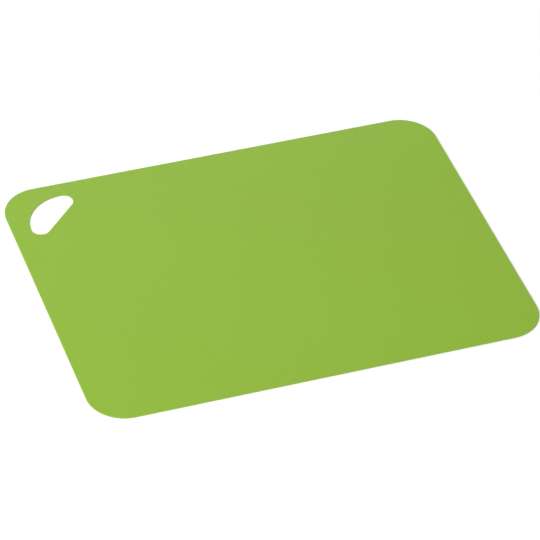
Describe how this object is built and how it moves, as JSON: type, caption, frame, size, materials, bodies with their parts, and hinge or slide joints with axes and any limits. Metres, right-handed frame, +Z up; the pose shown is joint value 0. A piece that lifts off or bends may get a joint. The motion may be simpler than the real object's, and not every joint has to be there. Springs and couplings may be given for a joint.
{
  "type": "flexible cutting mat",
  "caption": "Thin flexible rectangular cutting mat with wide round corners, a rounded edge and a D-shaped hang hole near a corner.",
  "frame": {"origin": "middle of the underside, on the surface that the mat lies on", "axes": "+X along the long side, +Y away from the cook, +Z up out of the cutting face; the hang hole is in the -X +Y corner"},
  "size_m": [0.38, 0.29, 0.0008],
  "materials": {
    "green_polypropylene": "matte"
  },
  "bodies": {
    "root": {"cutting_mat": "green_polypropylene"}
  },
  "joints": []
}
